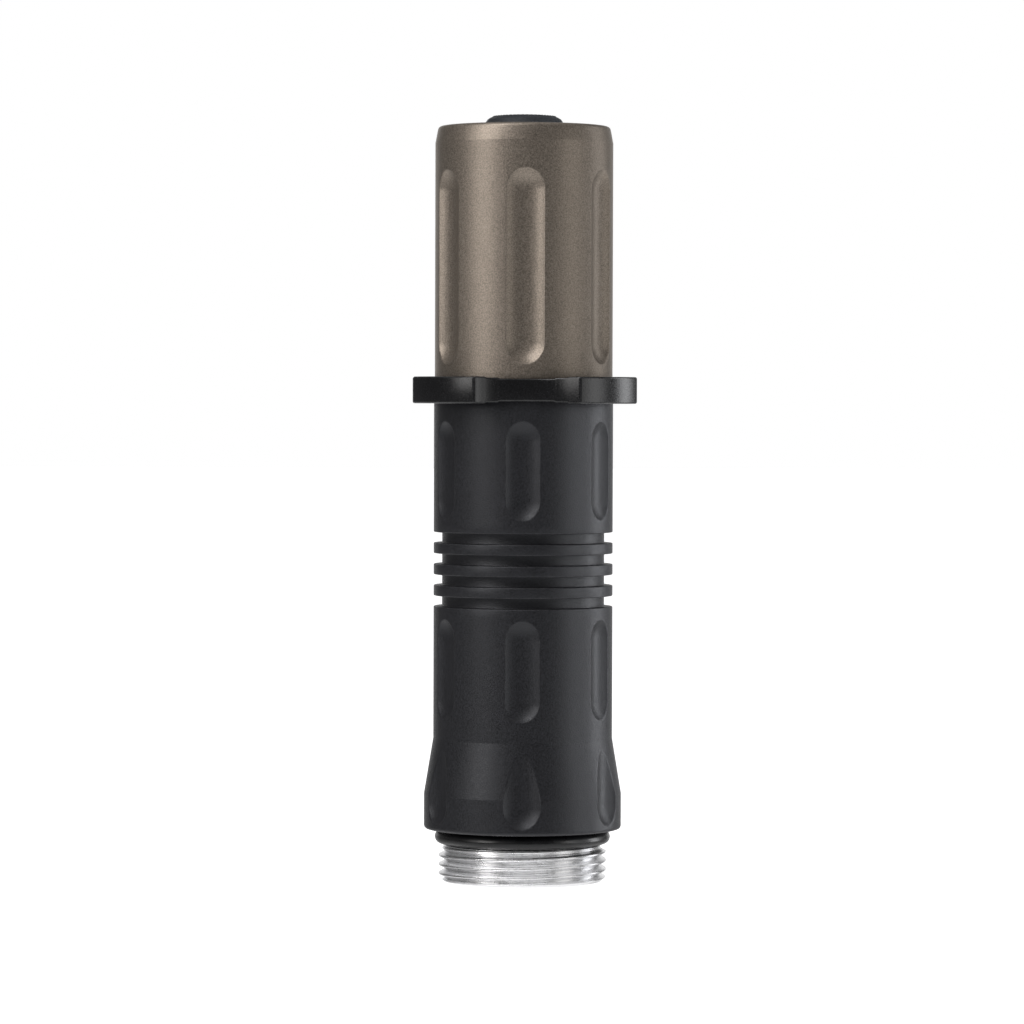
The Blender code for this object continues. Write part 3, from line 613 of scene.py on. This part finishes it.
def make_can():
    """The cell's steel can, with the crimp and the rolled groove under its positive end."""
    z0, z1 = low("cell_wrap"), high("cell_wrap")
    r = radius("cell_wrap") - FILM - 0.1 * MM
    inner = r - 0.25 * MM
    points = [(0.0, z1), (r, z1), (r, z0 + 3.4 * MM), (r - 0.7 * MM, z0 + 2.7 * MM)]
    points += [(r, z0 + 2.0 * MM), (r, z0 + 0.06 * MM), (r - 1.85 * MM, z0 + 0.06 * MM)]
    points += [(r - 1.85 * MM, z0 + 0.4 * MM), (inner, z0 + 0.4 * MM), (inner, z0 + 1.9 * MM)]
    points += [(inner - 0.7 * MM, z0 + 2.7 * MM), (inner, z0 + 3.5 * MM)]
    points += [(inner, z1 - 0.25 * MM), (0.0, z1 - 0.25 * MM)]
    sizes = {1: 0.5 * MM, 3: 0.5 * MM, 10: 0.3 * MM}
    can = turned("cell_can_fine", points, CELL_COLUMNS, size=0.1 * MM, sizes=sizes)
    return finish_piece(can, "battery", "cell_steel", "cell_can")


def make_positive_cap():
    """The cell's raised button with its four vents."""
    b0, b1 = low("cell_positive_cap"), high("cell_positive_cap")
    edge = radius("cell_positive_cap")
    disc = b1 - 0.5 * MM
    points = [(0.0, b1), (edge, b1), (edge, disc), (4.1 * MM, disc), (3.1 * MM, b0), (0.0, b0)]

    def vents(theta, r, z):
        t = (theta + math.pi / 4) % (math.pi / 2) - math.pi / 4
        slot = np.clip(1 - (np.abs(t) / 0.32) ** 4, 0, 1)
        slot *= np.clip(1 - (np.abs(r - 3.75 * MM) / (0.5 * MM)) ** 2, 0, 1)
        on_face = (z < disc + 0.01 * MM) & (r > 3.2 * MM)
        return r, z + np.where(on_face, 0.35 * MM * slot, 0)

    cap = turned("cell_positive_cap_fine", points, CELL_COLUMNS, size=0.25 * MM,
                 spacing=0.2 * MM, shape=vents)
    return finish_piece(cap, "battery", "cell_steel", "cell_positive_cap")


# Materials


PLASTICS = (  # name, darkest and lightest colour, least and most roughness
    ("black_plastic", (0.012, 0.012, 0.013), (0.03, 0.03, 0.032), (0.42, 0.6)),
    ("natural_plastic", (0.58, 0.56, 0.50), (0.72, 0.70, 0.64), (0.38, 0.55)),
    ("cell_plastic", (0.72, 0.72, 0.69), (0.86, 0.86, 0.83), (0.35, 0.5)),
)
METALS = (  # the same, then how much its lines are squeezed along each axis
    ("spring_steel", (0.46, 0.45, 0.43), (0.66, 0.65, 0.62), (0.22, 0.38), (1, 1, 6)),
    ("gold_contact", (0.66, 0.45, 0.14), (0.86, 0.66, 0.28), (0.2, 0.36), (1, 5, 1)),
    ("cell_steel", (0.56, 0.56, 0.54), (0.74, 0.74, 0.72), (0.18, 0.36), (1, 1, 0.1)),
    ("electrode_foil", (0.30, 0.28, 0.26), (0.55, 0.52, 0.49), (0.3, 0.5), (8, 8, 1)),
)


class Finish:
    """A node material, with short calls for the nodes that every finish here uses."""

    def __init__(self, name):
        self.material = bpy.data.materials.new(name)
        self.material.use_nodes = True
        self.tree = self.material.node_tree
        self.shader = self.tree.nodes["Principled BSDF"]
        self.place = self.tree.nodes.new("ShaderNodeTexCoord").outputs["Object"]

    def set(self, **values):
        for name, value in values.items():
            self.shader.inputs[name.replace("_", " ")].default_value = value

    def link(self, source, node, name):
        self.tree.links.new(source, node.inputs[name])

    def noise(self, scale, detail=2.0, rough=0.5, stretch=None):
        """Noise with scale features to the metre, stretched by a factor along each axis."""
        node = self.tree.nodes.new("ShaderNodeTexNoise")
        node.inputs["Scale"].default_value = scale
        node.inputs["Detail"].default_value = detail
        node.inputs["Roughness"].default_value = rough
        place = self.place
        if stretch:
            scaled = self.tree.nodes.new("ShaderNodeVectorMath")
            scaled.operation = "MULTIPLY"
            scaled.inputs[1].default_value = stretch
            self.link(self.place, scaled, 0)
            place = scaled.outputs[0]
        self.link(place, node, "Vector")
        return node.outputs[0]

    def remap(self, value, low_in, high_in, low_out=0.0, high_out=1.0):
        node = self.tree.nodes.new("ShaderNodeMapRange")
        ends = {"From Min": low_in, "From Max": high_in, "To Min": low_out, "To Max": high_out}
        for name, number in ends.items():
            node.inputs[name].default_value = number
        self.link(value, node, "Value")
        return node.outputs[0]

    def maths(self, operation, a, b):
        node = self.tree.nodes.new("ShaderNodeMath")
        node.operation = operation
        for i, value in enumerate((a, b)):
            if isinstance(value, (int, float)):
                node.inputs[i].default_value = value
            else:
                self.link(value, node, i)
        return node.outputs[0]

    def mix(self, share, a, b):
        """Colour a where share is 0 and b where it is 1. Each is a colour or a socket."""
        node = self.tree.nodes.new("ShaderNodeMix")
        node.data_type = "RGBA"
        self.link(share, node, 0)
        for i, value in ((6, a), (7, b)):
            if isinstance(value, tuple):
                node.inputs[i].default_value = (*value, 1.0)
            else:
                self.link(value, node, i)
        return node.outputs[2]

    # Feeds the pale corners: wear, and on the ring a painted highlight.
    def convexity(self):
        """The mesh's own measure of how sharply convex a point is."""
        node = self.tree.nodes.new("ShaderNodeAttribute")
        node.attribute_name = "edge"
        return node.outputs["Fac"]

    def bump(self, height, distance, strength=1.0, after=None):
        node = self.tree.nodes.new("ShaderNodeBump")
        node.inputs["Distance"].default_value = distance
        node.inputs["Strength"].default_value = strength
        self.link(height, node, "Height")
        if after:
            self.link(after, node, "Normal")
        return node.outputs[0]

    def use(self, name, socket):
        self.link(socket, self.shader, name)


def blasted(name, base, speckle, metallic, roughness, corner_wear_and_highlight, corner_wear_and_highlight_share, coarse=0.12, relief=0.8):
    """Bead-blasted and anodised metal: fine light and dark grains, faint blotches and pale corners, which
    are wear on most finishes and a painted highlight on the ring's.

    base is the middle colour, and speckle the share by which a grain is lighter or darker. The colour after
    roughness is a pale corner's colour, and the number after it the share by which it shows: worn metal on
    the tan and black finishes, a painted highlight on the ring's. coarse is the blotches' strength and
    relief the grains'.
    """
    made = Finish(name)
    grain = made.noise(5200, 1.5, 0.6)
    fine = made.noise(9500, 1.0, 0.5)
    cloud = made.noise(240, 3.0, 0.55)
    grain, fine = made.maths("MULTIPLY", grain, 0.65), made.maths("MULTIPLY", fine, 0.35)
    mixed = made.maths("ADD", grain, fine)
    dark = tuple(c * (1 - speckle) for c in base)
    light = tuple(c * (1 + speckle) for c in base)
    colour = made.mix(made.remap(mixed, 0.36, 0.64), dark, light)
    tone = made.remap(cloud, 0.3, 0.7, 0.0, coarse)
    colour = made.mix(tone, colour, tuple(c * 0.6 for c in base))
    # Pale colour on sharp corners: wear, and on the ring's finish a painted highlight
    scuffs = made.remap(made.noise(900, 3.0, 0.6), 0.35, 0.75)
    edge = made.maths("MULTIPLY", made.maths("MULTIPLY", made.convexity(), scuffs), corner_wear_and_highlight_share)
    made.use("Base Color", made.mix(edge, colour, corner_wear_and_highlight))
    made.use("Roughness", made.remap(mixed, 0.3, 0.7, roughness[0], roughness[1]))
    made.use("Normal", made.bump(mixed, 0.03 * MM, relief))
    made.set(Metallic=metallic)
    return made


def tan_anodised():
    made = blasted("tan_anodised", base=(0.295, 0.252, 0.210), speckle=0.34, metallic=0.85,
                   roughness=(0.36, 0.5), corner_wear_and_highlight=(0.5, 0.44, 0.38), corner_wear_and_highlight_share=0.5)
    return made.material


def black_anodised():
    made = blasted("black_anodised", base=(0.0105, 0.0105, 0.0130), speckle=0.8, metallic=0.0,
                   roughness=(0.3, 0.62), corner_wear_and_highlight=(0.12, 0.12, 0.125), corner_wear_and_highlight_share=0.45, coarse=0.3)
    made.set(IOR=1.56, Specular_Tint=(0.93, 0.95, 1.0, 1.0))
    return made.material


def ring_anodised():
    """The ring's finish: tumbled before it was anodised, so smoother and darker. Its pale corners are a
    painted highlight along the edges.
    """
    # The pale corner colour here is a painted highlight on the ring's edges, not wear.
    made = blasted("ring_anodised", base=(0.006, 0.006, 0.007), speckle=0.6, metallic=0.0,
                   roughness=(0.17, 0.3), corner_wear_and_highlight=(0.2, 0.2, 0.21), corner_wear_and_highlight_share=0.6, coarse=0.3, relief=0.5)
    made.set(IOR=1.5)
    return made.material


def bare_aluminium():
    """Bright turned metal, with the fine lines of the tool round the axis."""
    made = Finish("bare_aluminium")
    lines = made.noise(1.0, 3.0, 0.6, (90, 90, 16000))
    smear = made.noise(420, 3.0, 0.6)
    colour = made.mix(made.remap(lines, 0.35, 0.65), (0.87, 0.87, 0.885), (0.96, 0.96, 0.965))
    dull = made.remap(smear, 0.55, 0.85, 0.0, 0.3)
    made.use("Base Color", made.mix(dull, colour, (0.74, 0.74, 0.77)))
    made.use("Roughness", made.remap(made.maths("ADD", lines, smear), 0.7, 1.3, 0.2, 0.36))
    made.use("Normal", made.bump(lines, 0.006 * MM, 0.5))
    made.set(Metallic=1.0)
    return made.material


def rubber():
    made = Finish("rubber")
    grain = made.noise(3800, 3.0, 0.65)
    dust = made.noise(700, 3.0, 0.6)
    colour = made.mix(made.remap(grain, 0.35, 0.7), (0.012, 0.014, 0.018), (0.034, 0.039, 0.047))
    dusty = made.remap(dust, 0.5, 0.8, 0.0, 0.35)
    made.use("Base Color", made.mix(dusty, colour, (0.05, 0.056, 0.064)))
    made.use("Roughness", made.remap(dust, 0.3, 0.7, 0.46, 0.66))
    made.use("Normal", made.bump(grain, 0.03 * MM, 0.5))
    made.set(IOR=1.5)
    return made.material


def seal_rubber():
    """The O-rings: smooth nitrile with a film of grease."""
    made = Finish("seal_rubber")
    film = made.noise(360, 3.0, 0.6, (1, 1, 3))
    fine = made.noise(4200, 2.0, 0.5)
    greasy = made.remap(film, 0.35, 0.7)
    made.use("Base Color", made.mix(greasy, (0.005, 0.005, 0.006), (0.014, 0.014, 0.015)))
    made.use("Roughness", made.remap(film, 0.3, 0.7, 0.2, 0.42))
    made.use("Normal", made.bump(fine, 0.008 * MM, 0.5))
    made.set(IOR=1.5)
    return made.material


def moulded(name, dark, light, roughness, scale=2600):
    """Moulded plastic with a fine spark-eroded texture."""
    made = Finish(name)
    grain = made.noise(scale, 3.0, 0.6)
    flow = made.noise(160, 2.0, 0.5)
    colour = made.mix(made.remap(grain, 0.35, 0.65), dark, light)
    made.use("Base Color", made.mix(made.remap(flow, 0.4, 0.8, 0.0, 0.4), colour, dark))
    made.use("Roughness", made.remap(grain, 0.3, 0.7, roughness[0], roughness[1]))
    made.use("Normal", made.bump(grain, 0.015 * MM, 0.5))
    return made.material


def drawn(name, dark, light, roughness, stretch, scale=900):
    """Plated or drawn metal with fine lines along one direction."""
    made = Finish(name)
    lines = made.noise(scale, 3.0, 0.6, stretch)
    stain = made.noise(260, 3.0, 0.6)
    colour = made.mix(made.remap(lines, 0.35, 0.65), dark, light)
    made.use("Base Color", made.mix(made.remap(stain, 0.5, 0.85, 0.0, 0.5), colour, dark))
    made.use("Roughness", made.remap(stain, 0.3, 0.7, roughness[0], roughness[1]))
    made.use("Normal", made.bump(lines, 0.004 * MM, 0.6))
    made.set(Metallic=1.0)
    return made.material


def circuit_board():
    """Green solder mask over a woven laminate, with the faint relief of the tracks under it."""
    made = Finish("circuit_board")
    weave = made.noise(2400, 1.0, 0.4, (1, 0.35, 1))
    tracks = made.noise(480, 0.0, 0.5)
    colour = made.mix(made.remap(weave, 0.4, 0.6), (0.010, 0.060, 0.028), (0.022, 0.105, 0.050))
    copper = made.remap(tracks, 0.49, 0.53)
    made.use("Base Color", made.mix(made.maths("MULTIPLY", copper, 0.6), colour, (0.05, 0.17, 0.07)))
    made.use("Roughness", made.remap(weave, 0.3, 0.7, 0.22, 0.4))
    made.use("Normal", made.bump(copper, 0.03 * MM, 0.5))
    return made.material


def shrink_film():
    """Glossy film, drawn tight, with its faint shrink marks across the cell."""
    made = Finish("cell_film")
    marks = made.noise(240, 3.0, 0.55, (1, 1, 0.18))
    fine = made.noise(2600, 2.0, 0.5)
    colour = made.mix(made.remap(marks, 0.35, 0.65), (0.020, 0.062, 0.17), (0.034, 0.092, 0.24))
    made.use("Base Color", colour)
    made.use("Roughness", made.remap(fine, 0.3, 0.7, 0.16, 0.3))
    made.use("Normal", made.bump(marks, 0.03 * MM, 0.35))
    made.set(IOR=1.5)
    return made.material


def make_finishes():
    """One material to each slot of the record."""
    made = {
        "tan_anodised": tan_anodised(),
        "black_anodised": black_anodised(),
        "bare_aluminium": bare_aluminium(),
        "rubber": rubber(),
        "circuit_board": circuit_board(),
        "cell_film": shrink_film(),
    }
    for name, *look in PLASTICS:
        made[name] = moulded(name, *look)
    for name, *look in METALS:
        made[name] = drawn(name, *look)
    return made


def dress(obj, material):
    obj.data.materials.clear()
    obj.data.materials.append(material)


def dress_node(node, material):
    for place in node.material_slots:
        place.material = material


# Scene


def make_camera():
    """The photograph's view: a long lens at the light's upper half, looking very slightly down."""
    distance = 0.67
    seen_width = 145.3 * MM  # across the frame, at the light's axis
    offset = Vector((-1.6 * MM, 0, 0))  # the light stands a little right of the picture's middle
    aim = Vector((0, 0, 52.3 * MM)) + offset
    place = Vector((0, -distance, 68.2 * MM)) + offset
    data = bpy.data.cameras.new("camera")
    data.sensor_width = 36.0
    data.lens = 36.0 * distance / seen_width
    camera = bpy.data.objects.new("camera", data)
    look = (aim - place).to_track_quat("-Z", "Y")
    roll = Matrix.Rotation(math.radians(0.17), 3, "Z").to_quaternion()
    camera.rotation_mode = "QUATERNION"
    camera.rotation_quaternion = look @ roll
    camera.location = place
    bpy.context.scene.collection.objects.link(camera)
    bpy.context.scene.camera = camera


def softbox(name, azimuth, elevation, distance, size, power, colour, only=None):
    """An area light that faces the object. Azimuth is 0 at the camera and grows to its right.

    only is a collection of the pieces that the light reaches, where that isn't all of them.
    """
    data = bpy.data.lights.new(name, "AREA")
    data.shape = "RECTANGLE"
    data.size, data.size_y = size
    data.energy = power
    data.color = colour
    light = bpy.data.objects.new(name, data)
    a, e = math.radians(azimuth), math.radians(elevation)
    centre = Vector((0, 0, 60 * MM))
    out = Vector((math.sin(a) * math.cos(e), -math.cos(a) * math.cos(e), math.sin(e)))
    light.location = centre + out * distance
    light.rotation_mode = "QUATERNION"
    light.rotation_quaternion = out.to_track_quat("Z", "Y")
    light.visible_camera = False
    if only:
        light.light_linking.receiver_collection = only
    bpy.context.scene.collection.objects.link(light)


WARM = (1.0, 0.98, 0.965)
COOL = (0.97, 0.98, 1.0)
LIGHTS = (  # name, azimuth, elevation, distance, size, power, colour, the pieces that it reaches
    ("key", -54, 22, 0.85, (0.36, 0.60), 2.3, WARM, None),
    ("key_on_pale", -52, 22, 0.85, (0.36, 0.60), 0.3, WARM, "pale"),
    ("high", -40, 52, 0.85, (0.36, 0.36), 1.9, (1.0, 0.985, 0.985), None),
    ("right", 64, 2, 0.95, (0.46, 0.6), 0.8, (1.0, 0.99, 0.97), None),
    ("right_on_dark", 72, 4, 0.95, (0.34, 0.7), 1.0, (0.98, 0.985, 1.0), "dark"),
    ("rim", 112, 6, 0.9, (0.34, 0.9), 1.3, COOL, None),
    ("low_on_bright", 8, -30, 0.8, (0.9, 0.3), 1.1, (1.0, 1.0, 1.0), "bright"),
    ("high_on_bright", 8, 34, 0.8, (0.9, 0.3), 1.1, (1.0, 1.0, 1.0), "bright"),
    ("rim_on_dark", 108, 6, 0.9, (0.28, 0.9), 2.2, COOL, "dark"),
)


def group(name, objects):
    found = bpy.data.collections.new(name)
    for obj in objects:
        found.objects.link(obj)
    return found


def make_lights(tan, bare):
    """Soft lights, some of which reach only the tan and bare pieces, the bare ones or the dark ones."""
    pale = tan + bare
    dark = [obj for obj in bpy.context.scene.objects if obj.type == "MESH" and obj not in pale]
    reached = {
        None: None,
        "pale": group("pale_pieces", pale),
        "bright": group("bright_pieces", bare),
        "dark": group("dark_pieces", dark),
    }
    for *setting, only in LIGHTS:
        softbox(*setting, reached[only])


SKY = ((-1.0, 1.0), (-0.6, 0.95), (-0.28, 0.22), (0.0, 0.12), (0.3, 0.13), (0.7, 0.2), (1.0, 0.6))
BACKDROP = 0.9  # brightness of the white sheet behind the object


def make_world():
    """A dim room with a white table and a white sheet behind the object. The camera sees plain white."""
    world = bpy.data.worlds.new("studio")
    world.use_nodes = True
    tree = world.node_tree
    sky = tree.nodes["Background"]
    sky.inputs["Color"].default_value = (1, 1, 1, 1)
    direction = tree.nodes.new("ShaderNodeSeparateXYZ")
    tree.links.new(tree.nodes.new("ShaderNodeTexCoord").outputs["Generated"], direction.inputs[0])
    level = tree.nodes.new("ShaderNodeValToRGB")
    ramp = level.color_ramp.elements
    while len(ramp) < len(SKY):
        ramp.new(0.5)
    for stop, (height, brightness) in zip(ramp, SKY):
        stop.position = (height + 1) / 2
        stop.color = (brightness, brightness, brightness, 1)
    up = tree.nodes.new("ShaderNodeMapRange")
    up.inputs["From Min"].default_value = -1
    tree.links.new(direction.outputs["Z"], up.inputs["Value"])
    tree.links.new(up.outputs[0], level.inputs["Fac"])
    behind = tree.nodes.new("ShaderNodeMapRange")
    behind.inputs["From Min"].default_value = 0.82
    behind.inputs["From Max"].default_value = 0.93
    behind.inputs["To Max"].default_value = BACKDROP
    tree.links.new(direction.outputs["Y"], behind.inputs["Value"])
    room = tree.nodes.new("ShaderNodeMath")
    room.operation = "MAXIMUM"
    tree.links.new(level.outputs["Color"], room.inputs[0])
    tree.links.new(behind.outputs[0], room.inputs[1])
    seen = tree.nodes.new("ShaderNodeMath")
    seen.operation = "MAXIMUM"
    tree.links.new(room.outputs[0], seen.inputs[0])
    tree.links.new(tree.nodes.new("ShaderNodeLightPath").outputs["Is Camera Ray"], seen.inputs[1])
    tree.links.new(seen.outputs[0], sky.inputs["Strength"])
    bpy.context.scene.world = world


def make_floor():
    """White paper under the light, which the camera sees and which casts and reflects nothing."""
    mesh = bpy.data.meshes.new("floor")
    side = 4.0
    corners = [(-side, -side, 0), (side, -side, 0), (side, side, 0), (-side, side, 0)]
    mesh.from_pydata(corners, [], [(0, 1, 2, 3)])
    floor = bpy.data.objects.new("floor", mesh)
    floor.location.z = -0.02 * MM
    bpy.context.scene.collection.objects.link(floor)
    made = Finish("floor")
    made.set(Roughness=0.9, Emission_Color=(1, 1, 1, 1), Emission_Strength=0.85)
    paper = made.noise(300, 3.0, 0.6)
    made.use("Base Color", made.mix(made.remap(paper, 0.3, 0.7), (0.83, 0.83, 0.83), (0.87, 0.87, 0.87)))
    dress(floor, made.material)
    floor.visible_glossy = False
    floor.visible_diffuse = False
    floor.visible_shadow = False


def main():
    pieces = {
        "black_anodised": [make_body()],
        "bare_aluminium": [make_head_thread(), make_neck(), make_cap_thread()],
        "tan_anodised": [make_cap()],
        "rubber": [make_boot()],
    }
    seals = [make_seal("head_oring_fine", "head_oring", "tube")]
    seals.append(make_seal("tail_oring_fine", "tail_oring", "tube"))
    ring = make_ring()
    pieces["cell_film"] = [make_wrap()]
    pieces["cell_steel"] = [make_can(), make_positive_cap()]
    finishes = make_finishes()
    for slot, objects in pieces.items():
        for obj in objects:
            dress(obj, finishes[slot])
    dress(ring, ring_anodised())
    greased = seal_rubber()
    for seal in seals:
        dress(seal, greased)
    for part in frame["record"]["subparts"]:
        node = frame["nodes"][part["node"]]
        dress_node(node, finishes[part["material_slot"]])
    make_camera()
    make_lights(pieces["tan_anodised"], pieces["bare_aluminium"])
    make_world()
    make_floor()
    bpy.context.scene.view_settings.view_transform = "Standard"


main()
